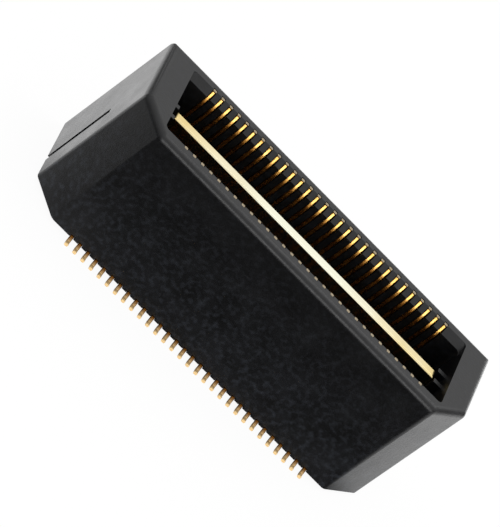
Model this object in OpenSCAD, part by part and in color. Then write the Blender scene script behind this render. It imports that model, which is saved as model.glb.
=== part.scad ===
// Two-row surface-mount board to board header with a ground blade between its rows.
// Sizes are in millimetres. X runs along the rows, -Y is the side with the two cut corners,
// +Z is the mating direction, and the surface of the board is at Z = 0.

/* [Rows] */
// Contacts in each of the two rows, an even number
contacts_per_row = 30; // [10:2:58]
// Distance from one contact to the next
pitch = 0.5; // [0.4:0.05:1]
// Distance from the last contact of a row to the end of the body
end_margin = 2.7; // [2.5:0.1:5]

/* [Body] */
// Width of the body across the rows
body_w = 5.9; // [5:0.1:9]
// Height of the body from its underside to the mating rim
body_h = 7.04; // [6:0.02:12]
// Height of the underside above the board
standoff = 0.22; // [0.2:0.02:0.6]
// Length cut from each side at the two front corners
corner_cut = 1.5; // [0.5:0.1:1.6]
// Radius of the rounded edge round the mating rim
rim_r = 0.35; // [0.1:0.01:0.38]

/* [Cavity] */
// Thickness of the long walls, at the ribs between the contacts
side_wall = 0.95; // [0.9:0.05:1.3]
// Thickness of the end walls
end_wall = 1.41; // [1.2:0.01:1.7]
// Thickness of the floor
floor_t = 1.6; // [0.8:0.1:3]
// Width of the bevel along the mouth of the long walls
lead_in = 0.32; // [0.1:0.01:0.35]
// Radius of the cavity's corners
cavity_corner_r = 0.2; // [0.1:0.05:0.5]

/* [Contacts] */
// Width of a contact along the row
contact_w = 0.18; // [0.14:0.02:0.26]
// Thickness of the contact strip
contact_t = 0.15; // [0.1:0.01:0.18]
// How far the mating face stands out from the ribs
contact_proud = 0.02; // [0.01:0.01:0.1]
// Depth of the contact's top end below the mating rim
tip_drop = 0.02; // [0.02:0.01:0.3]
// Height of the straight end above the sloped lead-in of a contact
tip_h = 0.08; // [0.07:0.01:0.4]
// Height of the sloped lead-in of a contact
slope_h = 0.64; // [0.5:0.01:0.8]
// How far the end of a contact steps back from its mating face
tip_set_back = 0.27; // [0.1:0.01:0.3]
// How far the solder tails reach out past the body
tail_reach = 0.42; // [0.4:0.01:1]
// How far past the body the tails have come down to the board
foot_reach = 0.22; // [0.18:0.01:0.26]
// How far inside the side of the body the tails start down
shoulder_depth = 0.1; // [0.05:0.01:0.2]
// Height of the notches through which the tails leave the walls
notch_h = 0.15; // [0.1:0.01:0.3]
// Bend radius of the tail, on the middle of the strip
tail_r = 0.15; // [0.1:0.01:0.16]
// Bend radius of the lead-in, on the middle of the strip
slope_r = 0.2; // [0.1:0.01:0.2]
// Clearance round a contact in its slot
slot_gap = 0.025; // [0.01:0.005:0.04]

/* [Ground blade] */
// Thickness of the blade
blade_t = 0.5; // [0.2:0.05:0.7]
// Depth of the blade's top edge below the mating rim
blade_drop = 0.72; // [0.3:0.02:2]
// Bevel along both sides of the top edge
blade_edge = 0.06; // [0.02:0.01:0.09]
// Radius of the two corners at the ends of the top edge
blade_corner_r = 0.15; // [0.1:0.01:0.4]
// Width of the end slots, which hold the blade's thin end tabs
end_slot_w = 0.3; // [0.2:0.01:0.4]
// Height of the end slots above the underside
end_slot_h = 4.05; // [2.5:0.05:5]
// Depth of the blade's end tabs behind the end faces
tab_recess = 0.45; // [0.1:0.05:0.8]
// Corner cut at the top of the end tabs
tab_corner = 0.3; // [0.1:0.05:0.6]
// Height of the blade's lower edge above the underside
blade_lift = 0.3; // [0:0.05:0.6]
// Number of board tails on the blade
blade_tails = 4; // [2:1:6]
// Width of a board tail
blade_tail_w = 1.2; // [0.4:0.1:1.5]
// Distance from one board tail to the next
blade_tail_pitch = 3.8; // [2:0.1:4]
// Clearance round the blade in its slots
blade_gap = 0.025; // [0.01:0.005:0.06]

/* [Blade guides] */
// Width of the guide that holds each end of the blade
guide_w = 1.04; // [1:0.02:1.6]
// How far a guide stands out from the end wall
guide_reach = 0.44; // [0.2:0.02:0.7]
// Depth of a guide's top below the mating rim
guide_drop = 0.66; // [0.2:0.02:3]

/* [Hidden] */
// Overlap of a cutting shape past the face that it opens
past = 0.2;
// Straight pieces in a bend of the strip
bend_steps = 5;
$fn = 48;

housing_colour = "#202124";
contact_colour = "#c9a24c";
blade_colour = "#ecd9a0";

row_length = (contacts_per_row - 1) * pitch;
body_l = row_length + 2 * end_margin;
rim_z = standoff + body_h;
floor_z = standoff + floor_t;
cavity_l = body_l - 2 * end_wall;
rib_y = body_w / 2 - side_wall;

mating_y = rib_y - contact_proud;
shank_y = mating_y + contact_t / 2;
tip_y = shank_y + tip_set_back;
tail_y = body_w / 2 + tail_reach;
foot_y = body_w / 2 + foot_reach;
shoulder_y = body_w / 2 - shoulder_depth;
notch_top_z = standoff + notch_h;
shoulder_z = notch_top_z - slot_gap - contact_t / 2;
tip_z = rim_z - tip_drop;
slope_top_z = tip_z - tip_h;
slope_low_z = slope_top_z - slope_h;
slot_w = contact_w + 2 * slot_gap;
slot_y = mating_y + contact_t + slot_gap;
slot_ledge_z = slope_low_z - contact_t;

blade_top_z = rim_z - blade_drop;
blade_low_z = standoff + blade_lift;
blade_l = cavity_l - 2 * guide_reach - 2 * blade_gap;
blade_slot_w = blade_t + 2 * blade_gap;
tab_l = body_l - 2 * tab_recess;
tab_t = end_slot_w - 2 * blade_gap;
tab_top_z = standoff + end_slot_h - blade_gap;
guide_top_z = rim_z - guide_drop;

pairs = floor(contacts_per_row / 2);
rows = ["front", "back"];

function two_digits(n) = n < 10 ? str("0", n) : str(n);
function pair_name(row, pair) =
    str(row, "_contacts_", two_digits(2 * pair + 1), "_", two_digits(2 * pair + 2));

function contact_x(i) = i * pitch - row_length / 2;

// Plan of the body, anticlockwise from the left end of the front face
body_plan = [
    [-body_l / 2 + corner_cut, -body_w / 2],
    [body_l / 2 - corner_cut, -body_w / 2],
    [body_l / 2, -body_w / 2 + corner_cut],
    [body_l / 2, body_w / 2],
    [-body_l / 2, body_w / 2],
    [-body_l / 2, -body_w / 2 + corner_cut]
];

function unit(v) = v / norm(v);
function left_of(v) = [-v.y, v.x];
function turned(v, a) = [v.x * cos(a) - v.y * sin(a), v.x * sin(a) + v.y * cos(a)];
function angle_between(a, b) = atan2(a.x * b.y - a.y * b.x, a * b);

// Points of a bend of radius r at corner b, on the way from a to c
function bend(a, b, c, r) =
    let (
        back = unit(a - b),
        ahead = unit(c - b),
        half = acos(back * ahead) / 2,
        centre = b + unit(back + ahead) * r / sin(half),
        first = b + back * r / tan(half) - centre,
        last = b + ahead * r / tan(half) - centre
    )
    [for (k = [0:bend_steps]) centre + turned(first, angle_between(first, last) * k / bend_steps)];

// Point beside a path's point i, at a distance d to the left of the path
function beside(path, i, d) =
    let (
        last = len(path) - 1,
        before = left_of(unit(path[max(i, 1)] - path[max(i, 1) - 1])),
        after = left_of(unit(path[min(i + 1, last)] - path[min(i, last - 1)])),
        middle = unit(before + after)
    )
    path[i] + middle * d / (middle * before);

// Outline of a strip of thickness t along a path
function strip(path, t) = concat(
    [for (i = [0:len(path) - 1]) beside(path, i, t / 2)],
    [for (i = [len(path) - 1:-1:0]) beside(path, i, -t / 2)]
);

// Middle line of a contact of the back row, from its tail to its tip, as [Y, Z] points
tail_end = [tail_y, contact_t / 2];
foot = [foot_y, contact_t / 2];
shoulder = [shoulder_y, shoulder_z];
heel = [shank_y, shoulder_z];
slope_low = [shank_y, slope_low_z];
slope_top = [tip_y, slope_top_z];
tip_end = [tip_y, tip_z];
contact_path = concat(
    [tail_end],
    bend(tail_end, foot, shoulder, tail_r),
    bend(foot, shoulder, heel, tail_r),
    bend(shoulder, heel, slope_low, tail_r),
    bend(heel, slope_low, slope_top, slope_r),
    bend(slope_low, slope_top, tip_end, slope_r),
    [tip_end]
);

// Draws a [Y, Z] profile out along X, centred
module along_x(length) {
    translate([-length / 2, 0, 0])
        rotate([90, 0, 90])
            linear_extrude(height = length) children();
}

// Draws an [X, Z] profile out along Y, centred
module along_y(length) {
    translate([0, length / 2, 0])
        rotate([90, 0, 0])
            linear_extrude(height = length) children();
}

// Repeats a back row shape on the front row
module both_rows() {
    children();
    mirror([0, 1, 0]) children();
}

// Cutter along X that takes a bevel off a top edge whose wall faces -Y
module edge_cutter(length, w, h) {
    reach = 1 + past / w;
    along_x(length)
        polygon([
            [w - reach * w, -reach * h],
            [reach * w, (reach - 1) * h],
            [w - reach * w, (reach - 1) * h]
        ]);
}

// Cutter along X that rounds a top edge whose wall faces -Y
module round_cutter(length, r) {
    along_x(length)
        difference() {
            translate([-past, -r]) square([past + r, r + past]);
            translate([r, -r]) circle(r);
        }
}

module rim_edges() {
    for (i = [0:len(body_plan) - 1]) {
        from = body_plan[i];
        to = body_plan[(i + 1) % len(body_plan)];
        middle = (from + to) / 2;
        along = to - from;
        translate([middle.x, middle.y, rim_z])
            rotate([0, 0, atan2(along.y, along.x)])
                round_cutter(norm(along) + 2 * corner_cut, rim_r);
    }
}

// Room above the floor with rounded corners, as far as y to the front and to the back
module cavity_room(y) {
    straight_l = cavity_l - 2 * cavity_corner_r;
    straight_y = y - cavity_corner_r;
    translate([0, 0, floor_z])
        linear_extrude(height = body_h) {
            square([straight_l, 2 * y], center = true);
            square([cavity_l, 2 * straight_y], center = true);
            for (side = [-1, 1])
                both_rows()
                    translate([side * straight_l / 2, straight_y]) circle(cavity_corner_r);
        }
}

module cavity() {
    cavity_room(rib_y);
    intersection() {
        cavity_room(rib_y + lead_in);
        both_rows()
            translate([0, rib_y, rim_z])
                edge_cutter(cavity_l + 2 * past, lead_in, lead_in);
    }
}

// Room for one contact of the back row: a comb slot in the wall, a hole through the floor and a
// notch in the lower edge of the wall
module contact_slot() {
    along_x(slot_w)
        polygon([
            [mating_y - slot_gap, standoff - past],
            [mating_y - slot_gap, rim_z + past],
            [slot_y + tip_set_back, rim_z + past],
            [slot_y + tip_set_back, slot_ledge_z],
            [slot_y, slot_ledge_z - tip_set_back],
            [slot_y, notch_top_z],
            [body_w / 2 + past, notch_top_z],
            [body_w / 2 + past, standoff - past]
        ]);
}

module blade_guides() {
    for (side = [-1, 1])
        translate([side * (cavity_l - guide_reach) / 2, 0, 0])
            translate([-guide_reach / 2, -guide_w / 2, floor_z])
                cube([guide_reach, guide_w, guide_top_z - floor_z]);
}

// Slots through the end walls for the tabs, and through the floor and the guides for the blade
module blade_slots() {
    translate([-body_l / 2 - past, -end_slot_w / 2, standoff - past])
        cube([body_l + 2 * past, end_slot_w, past + end_slot_h]);
    translate([-cavity_l / 2, -blade_slot_w / 2, standoff - past])
        cube([cavity_l, blade_slot_w, past + body_h]);
}

module housing() {
    color(housing_colour)
        difference() {
            union() {
                difference() {
                    translate([0, 0, standoff]) linear_extrude(height = body_h) polygon(body_plan);
                    rim_edges();
                    cavity();
                }
                blade_guides();
            }
            blade_slots();
            both_rows()
                for (i = [0:contacts_per_row - 1])
                    translate([contact_x(i), 0, 0]) contact_slot();
        }
}

// Side view of the blade with its board tails
module blade_outline() {
    straight_l = blade_l - 2 * blade_corner_r;
    shoulder_h = blade_top_z - blade_corner_r - blade_low_z;
    translate([-blade_l / 2, blade_low_z])
        square([blade_l, shoulder_h]);
    translate([-straight_l / 2, blade_low_z])
        square([straight_l, shoulder_h + blade_corner_r]);
    for (side = [-1, 1])
        translate([side * straight_l / 2, blade_low_z + shoulder_h]) circle(blade_corner_r);
    for (i = [0:blade_tails - 1])
        translate([(i - (blade_tails - 1) / 2) * blade_tail_pitch - blade_tail_w / 2, 0])
            square([blade_tail_w, blade_low_z + past]);
}

// Side view of the thin tabs at both ends
module tab_outline() {
    polygon([
        [-tab_l / 2, blade_low_z],
        [tab_l / 2, blade_low_z],
        [tab_l / 2, tab_top_z - tab_corner],
        [tab_l / 2 - tab_corner, tab_top_z],
        [-tab_l / 2 + tab_corner, tab_top_z],
        [-tab_l / 2, tab_top_z - tab_corner]
    ]);
}

module ground_blade() {
    color(blade_colour) {
        difference() {
            along_y(blade_t) blade_outline();
            both_rows()
                translate([0, -blade_t / 2, blade_top_z])
                    edge_cutter(blade_l + 2 * past, blade_edge, blade_edge);
        }
        along_y(tab_t) tab_outline();
    }
}

module contact() {
    along_x(contact_w) polygon(strip(contact_path, contact_t));
}

module contact_pair(row, pair) {
    color(contact_colour)
        for (i = [2 * pair, 2 * pair + 1])
            translate([contact_x(i), 0, 0])
                mirror([0, row == "front" ? 1 : 0, 0]) contact();
}

housing();
ground_blade();
for (row = rows)
    for (pair = [0:pairs - 1])
        contact_pair(row, pair);
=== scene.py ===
import bpy
import bmesh
import math
from mathutils import Matrix, Vector


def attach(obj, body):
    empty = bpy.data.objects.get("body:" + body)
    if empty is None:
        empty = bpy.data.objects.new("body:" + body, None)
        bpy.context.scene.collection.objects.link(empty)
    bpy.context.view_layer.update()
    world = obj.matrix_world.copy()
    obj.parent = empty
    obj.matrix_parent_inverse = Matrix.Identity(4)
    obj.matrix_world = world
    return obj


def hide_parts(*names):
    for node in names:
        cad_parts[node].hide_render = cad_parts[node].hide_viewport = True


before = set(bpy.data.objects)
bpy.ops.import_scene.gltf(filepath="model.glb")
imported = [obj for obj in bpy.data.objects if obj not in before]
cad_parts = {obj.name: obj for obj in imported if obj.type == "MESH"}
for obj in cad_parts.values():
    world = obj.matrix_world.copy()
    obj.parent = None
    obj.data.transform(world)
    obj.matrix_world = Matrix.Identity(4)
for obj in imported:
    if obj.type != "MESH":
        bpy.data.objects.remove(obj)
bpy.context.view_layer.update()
mm = 0.001  # the scene is in metres, sizes below are in millimetres
print("frame loaded,", len(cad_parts), "nodes")


# helpers

def linear(hexColour):
    # sRGB hex to the linear colour that a shader takes
    parts = [int(hexColour[i:i + 2], 16) / 255 for i in (1, 3, 5)]
    return [c / 12.92 if c <= 0.04045 else ((c + 0.055) / 1.055) ** 2.4 for c in parts] + [1.0]


def perMm(size):
    # texture scale on Object coordinates for a pattern that repeats about every size mm
    return 1 / (size * mm)


def addNode(tree, kind, settings=None, links=None):
    # settings go to the socket of that name or number, or else to the node itself
    # a Mix node has its factor on socket 0, its two numbers on 2 and 3 and its two colours on 6 and 7
    node = tree.nodes.new(kind)
    for key, value in (settings or {}).items():
        if isinstance(key, int) or key in node.inputs:
            node.inputs[key].default_value = value
        else:
            setattr(node, key, value)
    for key, socket in (links or {}).items():
        tree.links.new(socket, node.inputs[key])
    return node


def newMaterial(name):
    material = bpy.data.materials.new(name)
    material.use_nodes = True
    material.node_tree.nodes.clear()
    return material, material.node_tree


def newObject(name, data):
    made = bpy.data.objects.new(name, data)
    bpy.context.scene.collection.objects.link(made)
    return made


def evaluatedMesh(name, holder):
    # plain mesh of an object with its modifiers done, and the object goes
    graph = bpy.context.evaluated_depsgraph_get()
    mesh = bpy.data.meshes.new_from_object(holder.evaluated_get(graph))
    mesh.name = name
    bpy.data.objects.remove(holder)
    return mesh


def softShaded(name, bm, smoothBelow):
    # edges that turn by less than this many degrees shade smoothly while the large faces stay flat
    for f in bm.faces:
        f.smooth = True
    for e in bm.edges:
        e.smooth = e.is_manifold and e.calc_face_angle() < math.radians(smoothBelow)
    mesh = bpy.data.meshes.new(name)
    bm.to_mesh(mesh)
    bm.free()
    holder = newObject(name, mesh)
    weigh = holder.modifiers.new("weigh", "WEIGHTED_NORMAL")
    weigh.keep_sharp = True
    return evaluatedMesh(name, holder)


def placePiece(name, mesh, material, nodeNames):
    piece = newObject(name, mesh)
    mesh.materials.clear()
    mesh.materials.append(material)
    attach(piece, "root")
    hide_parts(*nodeNames)


packedMesh = {
    "weld": 0.0001,  # mm, corners this near are one
    "flat": 0.2,     # degrees, triangles that differ by less are one face
}


def mergedCopy(nodeName):
    # a node's mesh is loose triangles, so a copy is merged and its flat faces made whole
    bm = bmesh.new()
    bm.from_mesh(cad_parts[nodeName].data)
    bmesh.ops.remove_doubles(bm, verts=bm.verts, dist=packedMesh["weld"] * mm)
    bmesh.ops.dissolve_limit(bm, angle_limit=math.radians(packedMesh["flat"]),
                             verts=bm.verts, edges=bm.edges)
    return bm


def roundEdges(bm, edges, reach, steps):
    # the rounding reaches this many mm along the faces, and a profile of 0.5 is an arc
    bmesh.ops.bevel(bm, geom=edges, offset=reach * mm, offset_type="OFFSET", segments=steps,
                    profile=0.5, affect="EDGES", clamp_overlap=True)


# materials

def blackPlastic():
    # glass-filled LCP, moulded: black with a faint blue, dull when faced, bright at a grazing angle, with
    # cloudy flow marks and soft pale fibre specks, more of both towards the foot, so that it is paler
    # lower down
    look = {
        "deep": "#010102", "pale": "#0c0e13", "speck": "#1c1f25",
        "ior": 1.5,
        "flow": 1.2, "flowDetail": 4.0, "flowUneven": 0.65,  # mm from one flow mark to the next
        "flowFrom": 0.34, "flowTo": 0.72,             # noise at which a mark begins and is full
        "speckSize": 0.27, "speckDetail": 1.0,        # mm, fibres are finer, this is what it takes to show
        "speckFrom": 0.46, "speckTo": 0.76,           # noise at which a speck begins and is full
        "clearZ": 6.8, "markedZ": 1.2,                # mm up, the marks are full at the lower one
        "clear": 0.2,                                 # and this share of them is left at the upper one
        "smooth": 0.31, "rough": 0.38,                # roughness between the flow marks and on them
        "grain": 0.11, "grainDetail": 2.0,            # mm, the mould's grain, drawn coarse enough to show
        "grainRough": 0.06, "grainRelief": 0.6, "grainDepth": 0.01,  # depth in mm
    }
    material, tree = newMaterial("mouldedBlackLcp")
    place = addNode(tree, "ShaderNodeTexCoord").outputs["Object"]
    height = addNode(tree, "ShaderNodeSeparateXYZ", links={0: place}).outputs["Z"]
    flow = addNode(tree, "ShaderNodeTexNoise",
                   {"Scale": perMm(look["flow"]), "Detail": look["flowDetail"],
                    "Roughness": look["flowUneven"]}, {"Vector": place})
    grain = addNode(tree, "ShaderNodeTexNoise",
                    {"Scale": perMm(look["grain"]), "Detail": look["grainDetail"]}, {"Vector": place})
    dots = addNode(tree, "ShaderNodeTexNoise",
                   {"Scale": perMm(look["speckSize"]), "Detail": look["speckDetail"]}, {"Vector": place})
    cloud = addNode(tree, "ShaderNodeMapRange",
                    {"From Min": look["flowFrom"], "From Max": look["flowTo"]},
                    {"Value": flow.outputs[0]})
    speck = addNode(tree, "ShaderNodeMapRange",
                    {"From Min": look["speckFrom"], "From Max": look["speckTo"]},
                    {"Value": dots.outputs[0]})
    foot = addNode(tree, "ShaderNodeMapRange",
                   {"From Min": look["clearZ"] * mm, "From Max": look["markedZ"] * mm,
                    "To Min": look["clear"]}, {"Value": height})
    marks = addNode(tree, "ShaderNodeMath", {"operation": "MULTIPLY"},
                    {0: cloud.outputs[0], 1: foot.outputs[0]})
    specks = addNode(tree, "ShaderNodeMath", {"operation": "MULTIPLY"},
                     {0: speck.outputs[0], 1: foot.outputs[0]})
    tint = addNode(tree, "ShaderNodeMix",
                   {"data_type": "RGBA", 6: linear(look["deep"]), 7: linear(look["pale"])},
                   {0: marks.outputs[0]})
    skin = addNode(tree, "ShaderNodeMix", {"data_type": "RGBA", 7: linear(look["speck"])},
                   {0: specks.outputs[0], 6: tint.outputs[2]})
    gloss = addNode(tree, "ShaderNodeMapRange", {"To Min": look["smooth"], "To Max": look["rough"]},
                    {"Value": cloud.outputs[0]})
    uneven = addNode(tree, "ShaderNodeMath", {"operation": "MULTIPLY_ADD", 1: look["grainRough"]},
                     {0: grain.outputs[0], 2: gloss.outputs[0]})
    relief = addNode(tree, "ShaderNodeBump",
                     {"Strength": look["grainRelief"], "Distance": look["grainDepth"] * mm},
                     {"Height": grain.outputs[0]})
    shader = addNode(tree, "ShaderNodeBsdfPrincipled", {"IOR": look["ior"]},
                     {"Base Color": skin.outputs[2], "Roughness": uneven.outputs[0],
                      "Normal": relief.outputs[0]})
    addNode(tree, "ShaderNodeOutputMaterial", links={"Surface": shader.outputs[0]})
    return material


def goldContact():
    # gold over nickel on copper alloy strip: warm and bright with fine rolling lines, darker and redder
    # below the mating zone, where the gold thins out and painted shade stands for the depth of the cavity,
    # dull grey-beige on the sheared end, and on the tails a painted shade, brown, by the wall and paler
    # towards the solder end
    look = {
        # the shank colour is thinner gold with painted shade from the depth of the cavity
        "gold": "#efc476", "deep": "#e0ac54", "shankThinGoldAndShade": "#b87a36",
        # the brown is painted shade on the tails next to the wall
        "tailWallShade": "#7a4e1e", "tail": "#ffdb9e", "sheared": "#a3967f",
        "shankZ": 6.55, "shankFade": 0.35,      # mm up, thin gold with painted shade below, full gold above the fade
        "tipZ": 7.236, "tipFade": 0.01,         # mm up, the sheared end
        "tailZ": 0.5, "tailFade": 0.2,          # mm up, the tail fades in below
        "wallShadeY": 2.98, "paleY": 3.36,          # mm out from the middle plane, the painted shade by the wall is full at the first and gone at the second
        "cloud": 0.35, "cloudDetail": 3.0,      # mm
        "cloudFrom": 0.3, "cloudTo": 0.7,       # noise at which the plating is smoothest and roughest
        "line": 0.03, "lineLength": 0.8, "lineDetail": 2.0,  # mm, coarser than real ones, to show
        "lineRelief": 0.15, "lineDepth": 0.0006,             # depth in mm
        "smooth": 0.2, "rough": 0.34, "tailRough": 0.5, "shearedRough": 0.5,
        "metal": 1.0, "tailMetal": 0.2,         # the solder end is dull and barely mirrors
    }
    material, tree = newMaterial("goldPlatedStrip")
    place = addNode(tree, "ShaderNodeTexCoord").outputs["Object"]
    axes = addNode(tree, "ShaderNodeSeparateXYZ", links={0: place}).outputs
    height = axes["Z"]
    outwards = addNode(tree, "ShaderNodeMath", {"operation": "ABSOLUTE"}, {0: axes["Y"]}).outputs[0]
    cloud = addNode(tree, "ShaderNodeTexNoise",
                    {"Scale": perMm(look["cloud"]), "Detail": look["cloudDetail"]}, {"Vector": place})
    along = addNode(tree, "ShaderNodeMapping", {"Scale": (1, 1, look["line"] / look["lineLength"])},
                    {"Vector": place})
    lines = addNode(tree, "ShaderNodeTexNoise",
                    {"Scale": perMm(look["line"]), "Detail": look["lineDetail"]},
                    {"Vector": along.outputs[0]})
    tip = addNode(tree, "ShaderNodeMapRange",
                  {"From Min": (look["tipZ"] - look["tipFade"]) * mm, "From Max": look["tipZ"] * mm},
                  {"Value": height})
    tail = addNode(tree, "ShaderNodeMapRange",
                   {"From Min": look["tailZ"] * mm, "From Max": (look["tailZ"] - look["tailFade"]) * mm},
                   {"Value": height})
    # painted shade: darker and redder down in the cavity, where the gold is also thinner
    thinGoldAndShadeMask = addNode(tree, "ShaderNodeMapRange",
                      {"From Min": (look["shankZ"] + look["shankFade"]) * mm,
                       "From Max": look["shankZ"] * mm}, {"Value": height})
    # painted shade on the tails, brown by the wall and paler towards the solder end, where they also turn
    # dull
    wallShadeToSolderEnd = addNode(tree, "ShaderNodeMapRange",
                       {"From Min": look["wallShadeY"] * mm, "From Max": look["paleY"] * mm},
                       {"Value": outwards})
    gold = addNode(tree, "ShaderNodeMix",
                   {"data_type": "RGBA", 6: linear(look["gold"]), 7: linear(look["deep"])},
                   {0: cloud.outputs[0]})
    tailTint = addNode(tree, "ShaderNodeMix",
                       {"data_type": "RGBA", 6: linear(look["tailWallShade"]), 7: linear(look["tail"])},
                       {0: wallShadeToSolderEnd.outputs[0]})
    withShank = addNode(tree, "ShaderNodeMix", {"data_type": "RGBA", 7: linear(look["shankThinGoldAndShade"])},
                        {0: thinGoldAndShadeMask.outputs[0], 6: gold.outputs[2]})
    withTail = addNode(tree, "ShaderNodeMix", {"data_type": "RGBA"},
                       {0: tail.outputs[0], 6: withShank.outputs[2], 7: tailTint.outputs[2]})
    withEnd = addNode(tree, "ShaderNodeMix", {"data_type": "RGBA", 7: linear(look["sheared"])},
                      {0: tip.outputs[0], 6: withTail.outputs[2]})
    gloss = addNode(tree, "ShaderNodeMapRange",
                    {"From Min": look["cloudFrom"], "From Max": look["cloudTo"],
                     "To Min": look["smooth"], "To Max": look["rough"]}, {"Value": cloud.outputs[0]})
    tailGloss = addNode(tree, "ShaderNodeMix", {"data_type": "FLOAT", 3: look["tailRough"]},
                        {0: tail.outputs[0], 2: gloss.outputs[0]})
    endGloss = addNode(tree, "ShaderNodeMix", {"data_type": "FLOAT", 3: look["shearedRough"]},
                       {0: tip.outputs[0], 2: tailGloss.outputs[0]})
    matte = addNode(tree, "ShaderNodeMath", {"operation": "MULTIPLY"},
                    {0: tail.outputs[0], 1: wallShadeToSolderEnd.outputs[0]})
    metal = addNode(tree, "ShaderNodeMapRange", {"To Min": look["metal"], "To Max": look["tailMetal"]},
                    {"Value": matte.outputs[0]})
    relief = addNode(tree, "ShaderNodeBump",
                     {"Strength": look["lineRelief"], "Distance": look["lineDepth"] * mm},
                     {"Height": lines.outputs[0]})
    shader = addNode(tree, "ShaderNodeBsdfPrincipled",
                     links={"Base Color": withEnd.outputs[2], "Roughness": endGloss.outputs[0],
                            "Metallic": metal.outputs[0], "Normal": relief.outputs[0]})
    addNode(tree, "ShaderNodeOutputMaterial", links={"Surface": shader.outputs[0]})
    return material


def goldBlade():
    # gold flash on rolled sheet: smooth sides that mirror the dark cavity, and a pale satin top edge with
    # lines along it from the blanking, with a painted highlight that makes it paler towards the middle
    look = {
        "gold": "#f6eac4", "deep": "#edd593", "paintedHighlight": "#f9f8e2",
        "highlightFrom": 7, "highlightTo": 2,             # mm from the middle, a painted highlight, paler towards it
        "cloud": 2.2, "cloudDetail": 4.0,       # mm
        "cloudFrom": 0.35, "cloudTo": 0.65,     # noise at which the gold is palest and deepest
        "line": 0.04, "lineLength": 2.5, "lineDetail": 2.0,  # mm, coarser than real ones, to show
        "lineFrom": 0.3, "lineTo": 0.7,         # noise at which a line is smoothest and roughest
        "lineRelief": 0.1, "lineDepth": 0.001,  # depth in mm
        "edgeZ": 6.5, "edgeFade": 0.03,         # mm up, the blanked top edge
        "smooth": 0.12, "rough": 0.18, "edgeRough": 0.3,
        "metal": 1.0,
    }
    material, tree = newMaterial("goldFlashedSheet")
    place = addNode(tree, "ShaderNodeTexCoord").outputs["Object"]
    axes = addNode(tree, "ShaderNodeSeparateXYZ", links={0: place}).outputs
    fromMiddle = addNode(tree, "ShaderNodeMath", {"operation": "ABSOLUTE"}, {0: axes["X"]})
    cloud = addNode(tree, "ShaderNodeTexNoise",
                    {"Scale": perMm(look["cloud"]), "Detail": look["cloudDetail"]}, {"Vector": place})
    along = addNode(tree, "ShaderNodeMapping", {"Scale": (look["line"] / look["lineLength"], 1, 1)},
                    {"Vector": place})
    lines = addNode(tree, "ShaderNodeTexNoise",
                    {"Scale": perMm(look["line"]), "Detail": look["lineDetail"]},
                    {"Vector": along.outputs[0]})
    spread = addNode(tree, "ShaderNodeMapRange",
                     {"From Min": look["cloudFrom"], "From Max": look["cloudTo"]},
                     {"Value": cloud.outputs[0]})
    edge = addNode(tree, "ShaderNodeMapRange",
                   {"From Min": (look["edgeZ"] - look["edgeFade"]) * mm, "From Max": look["edgeZ"] * mm},
                   {"Value": axes["Z"]})
    # painted highlight: the blade turns paler towards its middle
    paintedHighlight = addNode(tree, "ShaderNodeMapRange",
                   {"From Min": look["highlightFrom"] * mm, "From Max": look["highlightTo"] * mm},
                   {"Value": fromMiddle.outputs[0]})
    gold = addNode(tree, "ShaderNodeMix",
                   {"data_type": "RGBA", 6: linear(look["gold"]), 7: linear(look["deep"])},
                   {0: spread.outputs[0]})
    tint = addNode(tree, "ShaderNodeMix", {"data_type": "RGBA", 7: linear(look["paintedHighlight"])},
                   {0: paintedHighlight.outputs[0], 6: gold.outputs[2]})
    gloss = addNode(tree, "ShaderNodeMapRange",
                    {"From Min": look["lineFrom"], "From Max": look["lineTo"],
                     "To Min": look["smooth"], "To Max": look["rough"]}, {"Value": lines.outputs[0]})
    edgeGloss = addNode(tree, "ShaderNodeMix", {"data_type": "FLOAT", 3: look["edgeRough"]},
                        {0: edge.outputs[0], 2: gloss.outputs[0]})
    relief = addNode(tree, "ShaderNodeBump",
                     {"Strength": look["lineRelief"], "Distance": look["lineDepth"] * mm},
                     {"Height": lines.outputs[0]})
    shader = addNode(tree, "ShaderNodeBsdfPrincipled", {"Metallic": look["metal"]},
                     {"Base Color": tint.outputs[2], "Roughness": edgeGloss.outputs[0],
                      "Normal": relief.outputs[0]})
    addNode(tree, "ShaderNodeOutputMaterial", links={"Surface": shader.outputs[0]})
    return material


plastic = blackPlastic()
contactGold = goldContact()
bladeGold = goldBlade()
print("materials made")


# housing

housingForm = {
    "halfLength": 9.95, "halfWidth": 2.95, "cornerCut": 1.5, "rimZ": 7.26,  # mm, as the solid
    "rimRound": 0.35,     # mm, rounded edge round the rim
    "rimSteps": 10,
    # mm that the moulded rounding of each upright edge reaches along its faces, anticlockwise from the
    # left end of the front
    "uprights": [0.14, 0.14, 0.12, 0.12, 0.12, 0.12],
    "uprightSteps": 6,
    "flatMargin": 0.007,  # mm that the rim's flat is taken further in, to tell it from the facets
    "wallUp": 0.01,       # a wall's normal points up by less than this
    "flatUp": 0.9995,     # and the flat's by more than this
    "onCorner": 0.01,     # mm, a point this near to an upright edge is on it
    "onRing": 0.001,      # mm, and to the foot of the rounding
    "weld": 0.002,        # mm, new corners this near to old ones are one
    "smoothBelow": 28,    # degrees
}


def insetPlan(form, inset):
    # corners of the body's plan, moved inwards
    x, y, c = form["halfLength"], form["halfWidth"], form["cornerCut"]
    plan = [Vector(p) for p in ((c - x, -y), (x - c, -y), (x, c - y), (x, y), (-x, y), (-x, c - y))]
    inwards = []
    for i, p in enumerate(plan):
        edge = (plan[(i + 1) % len(plan)] - p).normalized()
        inwards.append(Vector((-edge.y, edge.x)))
    moved = []
    for i, p in enumerate(plan):
        before, after = inwards[i - 1], inwards[i]
        moved.append(p + (before + after) * inset / (1 + before.dot(after)))
    return moved


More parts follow.
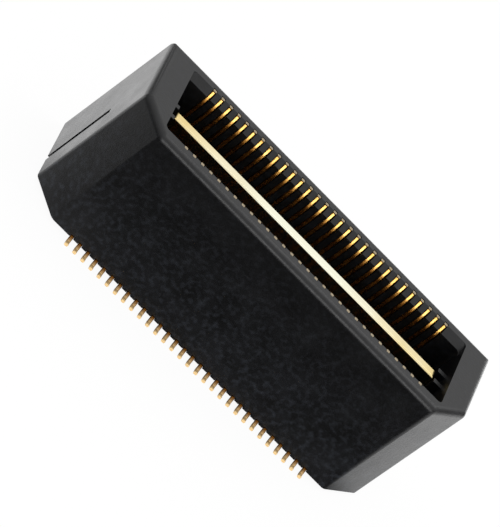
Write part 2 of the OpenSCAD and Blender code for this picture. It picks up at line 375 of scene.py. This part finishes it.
def cutCoarseRim(bm, form):
    # the solid's rim is rounded in coarse facets, which are taken out
    foot = form["rimZ"] - form["rimRound"]
    flat = insetPlan(form, form["rimRound"] + form["flatMargin"])
    facets = []
    for f in bm.faces:
        middle = f.calc_center_median() / mm
        outside = any((flat[i] - flat[i - 1]).cross(middle.xy - flat[i - 1]) < 0 for i in range(len(flat)))
        if outside and middle.z > foot and form["wallUp"] < f.normal.z < form["flatUp"]:
            facets.append(f)
    bmesh.ops.delete(bm, geom=facets, context="FACES")


def roundUprights(bm, form):
    # rounds the upright edges of the walls and gives the radius that each one gets
    radii = []
    for corner, reach in zip(insetPlan(form, 0), form["uprights"]):
        upright = [e for e in bm.edges
                   if all((v.co.xy / mm - corner).length < form["onCorner"] for v in e.verts)]
        radii.append(reach / math.tan(upright[0].calc_face_angle() / 2))
        roundEdges(bm, upright, reach, form["uprightSteps"])
    return radii


def rollRim(bm, form, radii):
    # rolls the rim in fine steps, from the open ring at the foot of its rounding up to its flat
    r = form["rimRound"]
    foot = form["rimZ"] - r
    corners = insetPlan(form, 0)
    ring = [v for v in bm.verts if v.is_boundary and abs(v.co.z / mm - foot) < form["onRing"]]
    ring.sort(key=lambda v: math.atan2(v.co.y, v.co.x))
    lower = ring
    for k in range(1, form["rimSteps"] + 1):
        turn = math.pi / 2 * k / form["rimSteps"]
        inset = r * (1 - math.cos(turn))
        height = foot + r * math.sin(turn)
        plan = insetPlan(form, inset)
        upper = []
        for v in ring:
            away = [(v.co.xy / mm - c).length for c in corners]
            i = away.index(min(away))
            p = plan[i] + (v.co.xy / mm - corners[i]) * max(0, 1 - inset / radii[i])
            upper.append(bm.verts.new((p.x * mm, p.y * mm, height * mm)))
        for i in range(len(ring)):
            j = (i + 1) % len(ring)
            bm.faces.new((lower[i], lower[j], upper[j], upper[i]))
        lower = upper
    bmesh.ops.remove_doubles(bm, verts=bm.verts, dist=form["weld"] * mm)
    bmesh.ops.recalc_face_normals(bm, faces=bm.faces)


def makeHousing(form):
    bm = mergedCopy("housing")
    cutCoarseRim(bm, form)
    radii = roundUprights(bm, form)
    rollRim(bm, form, radii)
    print("housing:", len(bm.faces), "faces,", sum(not e.is_manifold for e in bm.edges), "open edges")
    mesh = softShaded("housingShell", bm, form["smoothBelow"])
    placePiece("housingShell", mesh, plastic, ["housing"])


makeHousing(housingForm)


# ground blade

bladeForm = {
    "edge": 0.025,        # mm, soft edge left by stamping
    "edgeSteps": 2,
    "sharp": 25,          # degrees, outer edges that turn by more are softened
    "smoothBelow": 50,    # degrees
}


def makeBlade(form):
    bm = mergedCopy("ground_blade")
    turn = math.radians(form["sharp"])
    sharp = [e for e in bm.edges if e.is_manifold and e.is_convex and e.calc_face_angle() > turn]
    roundEdges(bm, sharp, form["edge"], form["edgeSteps"])
    mesh = softShaded("groundBlade", bm, form["smoothBelow"])
    placePiece("groundBlade", mesh, bladeGold, ["ground_blade"])


makeBlade(bladeForm)
print("blade made")


# rows of contacts

contactForm = {
    "count": 30, "pitch": 0.5,         # mm, as all sizes here
    "width": 0.18, "thickness": 0.15,
    "edge": 0.04, "edgeSteps": 2,      # rounding along the stamped edges
    # middle line from the tail to the tip as distance from the middle plane and height
    "path": [(3.37, 0.075), (3.17, 0.075), (2.85, 0.27), (2.055, 0.27),
             (2.055, 6.66), (2.325, 7.16), (2.325, 7.24)],
    # radius at each of these points, on the middle of the strip
    "bends": [0, 0.15, 0.15, 0.15, 2, 0.15, 0],
    "bendSteps": 6,
    "weld": 0.0005,                    # corners this near are one
    "smoothBelow": 50,                 # degrees
}


def contactTree(form):
    tree = bpy.data.node_groups.new("contactRow", "GeometryNodeTree")
    sockets = {"Path": "Geometry", "Count": "Int", "Pitch": "Float", "First": "Float", "Width": "Float",
               "Thickness": "Float", "Edge": "Float", "Plating": "Material"}
    for name, kind in sockets.items():
        tree.interface.new_socket(name, in_out="INPUT", socket_type="NodeSocket" + kind)
    tree.interface.new_socket("Row", in_out="OUTPUT", socket_type="NodeSocketGeometry")
    given = addNode(tree, "NodeGroupInput").outputs
    line = addNode(tree, "GeometryNodeMeshToCurve", links={"Mesh": given["Path"]})
    radius = addNode(tree, "GeometryNodeInputNamedAttribute", {"Name": "bend"})
    bent = addNode(tree, "GeometryNodeFilletCurve", {"mode": "POLY", "Count": form["bendSteps"]},
                   {"Curve": line.outputs[0], "Radius": radius.outputs[0]})
    section = addNode(tree, "GeometryNodeCurvePrimitiveQuadrilateral",
                      links={"Width": given["Width"], "Height": given["Thickness"]})
    softened = addNode(tree, "GeometryNodeFilletCurve", {"mode": "POLY", "Count": form["edgeSteps"]},
                       {"Curve": section.outputs[0], "Radius": given["Edge"]})
    strip = addNode(tree, "GeometryNodeCurveToMesh", {"Fill Caps": True},
                    {"Curve": bent.outputs[0], "Profile Curve": softened.outputs[0]})
    start = addNode(tree, "ShaderNodeCombineXYZ", links={"X": given["First"]})
    step = addNode(tree, "ShaderNodeCombineXYZ", links={"X": given["Pitch"]})
    places = addNode(tree, "GeometryNodeMeshLine", {"mode": "OFFSET"},
                     {"Count": given["Count"], "Start Location": start.outputs[0],
                      "Offset": step.outputs[0]})
    row = addNode(tree, "GeometryNodeInstanceOnPoints",
                  links={"Points": places.outputs[0], "Instance": strip.outputs[0]})
    real = addNode(tree, "GeometryNodeRealizeInstances", links={0: row.outputs[0]})
    plated = addNode(tree, "GeometryNodeSetMaterial",
                     links={"Geometry": real.outputs[0], "Material": given["Plating"]})
    addNode(tree, "NodeGroupOutput", links={"Row": plated.outputs[0]})
    return tree


def makeRow(name, side, nodePrefix, form, tree):
    # side is -1 in front of the middle plane and 1 behind it
    path = bpy.data.meshes.new(name + "Path")
    points = [(0, side * y * mm, z * mm) for y, z in form["path"]]
    path.from_pydata(points, [(i, i + 1) for i in range(len(points) - 1)], [])
    bend = path.attributes.new("bend", "FLOAT", "POINT")
    bend.data.foreach_set("value", [r * mm for r in form["bends"]])
    holder = newObject(name + "Path", path)
    repeat = holder.modifiers.new("repeat", "NODES")
    repeat.node_group = tree
    first = -(form["count"] - 1) / 2 * form["pitch"]
    sizes = {"Count": form["count"], "Pitch": form["pitch"] * mm, "First": first * mm,
             "Width": form["width"] * mm, "Thickness": form["thickness"] * mm, "Edge": form["edge"] * mm,
             "Plating": contactGold}
    # a modifier's input goes by its socket's identifier
    for socket in tree.interface.items_tree:
        if socket.name in sizes:
            repeat[socket.identifier] = sizes[socket.name]
    bm = bmesh.new()
    bm.from_mesh(evaluatedMesh(name, holder))
    bmesh.ops.remove_doubles(bm, verts=bm.verts, dist=form["weld"] * mm)
    bmesh.ops.recalc_face_normals(bm, faces=bm.faces)
    nodeNames = [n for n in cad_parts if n.startswith(nodePrefix)]
    placePiece(name, softShaded(name, bm, form["smoothBelow"]), contactGold, nodeNames)
    print(name, "made for", len(nodeNames), "nodes")


rowTree = contactTree(contactForm)
makeRow("frontContacts", -1, "front_contacts", contactForm, rowTree)
makeRow("backContacts", 1, "back_contacts", contactForm, rowTree)


# floor and background

toRight, toLeft, toBack, toFront = (1, 0, 0), (-1, 0, 0), (0, 1, 0), (0, -1, 0)
backdrop = {
    "colour": "#f4f4f4",  # the card itself, as it bounces light
    "white": "#ffffff",   # and as the camera and the gloss see it
    "size": 2.0,          # metres
    "below": 0.01,        # mm under the tails
    "whiteShare": 0.94,   # how much of the card is seen so, the rest keeps the shadow
    "whiteLevel": 1.0,    # level of that white for the camera
    "front": 0.01,        # painted shade: level of that white in the gloss, dim in front of the part, where the part's shadow would fall
    # painted light in the gloss: each patch fades in along its ramps, each with the way it runs, from and
    # to in mm, and adds a level
    "paintedLightPatches": [
        ([((1, 1, 0), 6, 9), (toRight, 3, 9.2)], 1.05),        # beyond the right end
        ([(toBack, -3, 2), (toRight, 3, 9.2)], 1.25),          # and more towards the back there
        ([(toLeft, 5, 9), (toBack, -9, -6)], 0.3),             # beyond the left end
        ([((-0.3, 1, 0), 1, 2.8), (toLeft, 3, 9.2)], 0.3),     # and more towards the back, in two steps
        ([(toBack, -3, 2), (toLeft, 3, 9.2)], 1.12),
        ([(toBack, 2, 9)], 0.12),                              # behind the part
        ([(toFront, 2, 3), (toFront, 7, 3), (toRight, -10, -8), (toLeft, -10, -8)], 0.14),  # by its front
    ],
}


def makeFloor(look):
    half = look["size"] / 2
    mesh = bpy.data.meshes.new("floor")
    corners = ((-half, -half), (half, -half), (half, half), (-half, half))
    mesh.from_pydata([(x, y, -look["below"] * mm) for x, y in corners], [], [(0, 1, 2, 3)])
    material, tree = newMaterial("whiteCard")
    ray = addNode(tree, "ShaderNodeLightPath").outputs
    place = addNode(tree, "ShaderNodeTexCoord").outputs["Object"]
    # painted reflection: the gloss sees a level painted by place, dim in front of the part and brighter
    # beyond its ends
    level = addNode(tree, "ShaderNodeValue")
    level.outputs[0].default_value = look["front"]
    for ramps, more in look["paintedLightPatches"]:
        paintedPatch = addNode(tree, "ShaderNodeValue")
        paintedPatch.outputs[0].default_value = more
        for way, near, far in ramps:
            out = addNode(tree, "ShaderNodeVectorMath", {"operation": "DOT_PRODUCT", 1: way}, {0: place})
            ramp = addNode(tree, "ShaderNodeMapRange", {"From Min": near * mm, "From Max": far * mm},
                           {"Value": out.outputs["Value"]})
            paintedPatch = addNode(tree, "ShaderNodeMath", {"operation": "MULTIPLY"},
                            {0: paintedPatch.outputs[0], 1: ramp.outputs[0]})
        level = addNode(tree, "ShaderNodeMath", {"operation": "ADD"},
                        {0: level.outputs[0], 1: paintedPatch.outputs[0]})
    # the camera sees the white, mirrored rays see the white at the painted level, with painted shade in
    # front of the part and painted light beyond its ends, and the light that bounces sees the card
    mirrored = addNode(tree, "ShaderNodeMath", {"operation": "MAXIMUM"},
                       {0: ray["Is Glossy Ray"], 1: ray["Is Transmission Ray"]})
    either = addNode(tree, "ShaderNodeMath", {"operation": "ADD"},
                     {0: ray["Is Camera Ray"], 1: mirrored.outputs[0]})
    share = addNode(tree, "ShaderNodeMath", {"operation": "MULTIPLY", 1: look["whiteShare"]},
                    {0: either.outputs[0]})
    seen = addNode(tree, "ShaderNodeMix", {"data_type": "FLOAT", 3: look["whiteLevel"]},
                   {0: ray["Is Camera Ray"], 2: level.outputs[0]})
    card = addNode(tree, "ShaderNodeBsdfDiffuse", {"Color": linear(look["colour"])})
    white = addNode(tree, "ShaderNodeEmission", {"Color": linear(look["white"])},
                    {"Strength": seen.outputs[0]})
    mixed = addNode(tree, "ShaderNodeMixShader",
                    links={0: share.outputs[0], 1: card.outputs[0], 2: white.outputs[0]})
    addNode(tree, "ShaderNodeOutputMaterial", links={"Surface": mixed.outputs[0]})
    mesh.materials.append(material)
    newObject("floor", mesh)


makeFloor(backdrop)


# light

studio = {
    "white": "#ffffff",   # background, sky and even light alike
    "soft": 0.95,         # even light from all round
    "whiteLevel": 1.0,    # the background as the camera sees it
    "horizon": 0.2,       # the sky as the gloss shows it, brighter towards the top
    "zenith": 1.1,
    # azimuth and elevation of each lamp seen from the part in degrees, distance, width and height
    # in metres
    "lamps": [
        {"name": "backPanel", "azimuth": 164, "elevation": 33, "distance": 0.4,
         "size": (0.46, 0.46), "radiance": 0.3},
        {"name": "rightKey", "azimuth": 110, "elevation": 60, "distance": 0.4,
         "size": (0.24, 0.24), "radiance": 2},
        {"name": "frontStrip", "azimuth": 14, "elevation": 11, "distance": 0.5,
         "size": (0.4, 0.19), "radiance": 3.3},
    ],
}


def bearing(azimuth, elevation):
    # direction from the part, azimuth 0 towards -Y and 90 towards +X
    a, e = math.radians(azimuth), math.radians(elevation)
    return Vector((math.sin(a) * math.cos(e), -math.cos(a) * math.cos(e), math.sin(e)))


def lightStudio(look):
    world = bpy.data.worlds.new("studio")
    bpy.context.scene.world = world
    world.use_nodes = True
    tree = world.node_tree
    tree.nodes.clear()
    ray = addNode(tree, "ShaderNodeLightPath").outputs
    way = addNode(tree, "ShaderNodeTexCoord").outputs["Generated"]
    rise = addNode(tree, "ShaderNodeSeparateXYZ", links={0: way}).outputs["Z"]
    sky = addNode(tree, "ShaderNodeMapRange", {"To Min": look["horizon"], "To Max": look["zenith"]},
                  {"Value": rise})
    # the camera sees plain white, mirrored rays see the sky, and the part is lit evenly
    mirrored = addNode(tree, "ShaderNodeMath", {"operation": "MAXIMUM"},
                       {0: ray["Is Glossy Ray"], 1: ray["Is Transmission Ray"]})
    level = addNode(tree, "ShaderNodeMix", {"data_type": "FLOAT", 2: look["soft"]},
                    {0: mirrored.outputs[0], 3: sky.outputs[0]})
    seen = addNode(tree, "ShaderNodeMix", {"data_type": "FLOAT", 3: look["whiteLevel"]},
                   {0: ray["Is Camera Ray"], 2: level.outputs[0]})
    white = addNode(tree, "ShaderNodeBackground", {"Color": linear(look["white"])},
                    {"Strength": seen.outputs[0]})
    addNode(tree, "ShaderNodeOutputWorld", links={"Surface": white.outputs[0]})
    for lamp in look["lamps"]:
        data = bpy.data.lights.new(lamp["name"], "AREA")
        data.shape = "RECTANGLE"
        data.size, data.size_y = lamp["size"]
        data.energy = lamp["radiance"] * math.pi * data.size * data.size_y  # watts
        lampObject = newObject(lamp["name"], data)
        away = bearing(lamp["azimuth"], lamp["elevation"])
        lampObject.location = away * lamp["distance"]
        lampObject.rotation_euler = away.to_track_quat("Z", "Y").to_euler()


lightStudio(studio)


# camera

photoCamera = {
    "azimuth": -16.41,    # degrees, 0 looks along +Y
    "elevation": 32.97,
    "roll": 54.25,        # turned anticlockwise, so that the long side runs down to the right
    "aim": (-0.300, 1.737, 2.638),  # mm, on the middle of the picture
    "distance": 328.13,   # mm
    "lens": 519.48,       # mm
    "sensor": 36,         # mm, for the long side of the picture
    "clip": (0.001, 10),  # metres, nearest and farthest that it sees
}


def makeCamera(look):
    data = bpy.data.cameras.new("photoCamera")
    data.lens = look["lens"]
    data.sensor_width = look["sensor"]
    data.clip_start, data.clip_end = look["clip"]
    cam = newObject("photoCamera", data)
    away = bearing(look["azimuth"], look["elevation"])
    upright = (-away).to_track_quat("-Z", "Y").to_matrix().to_4x4()
    turned = upright @ Matrix.Rotation(math.radians(look["roll"]), 4, "Z")
    eye = Vector(look["aim"]) * mm + away * look["distance"] * mm
    cam.matrix_world = Matrix.Translation(eye) @ turned
    bpy.context.scene.camera = cam


makeCamera(photoCamera)
bpy.context.scene.view_settings.view_transform = "Standard"
print("floor, light and camera set")
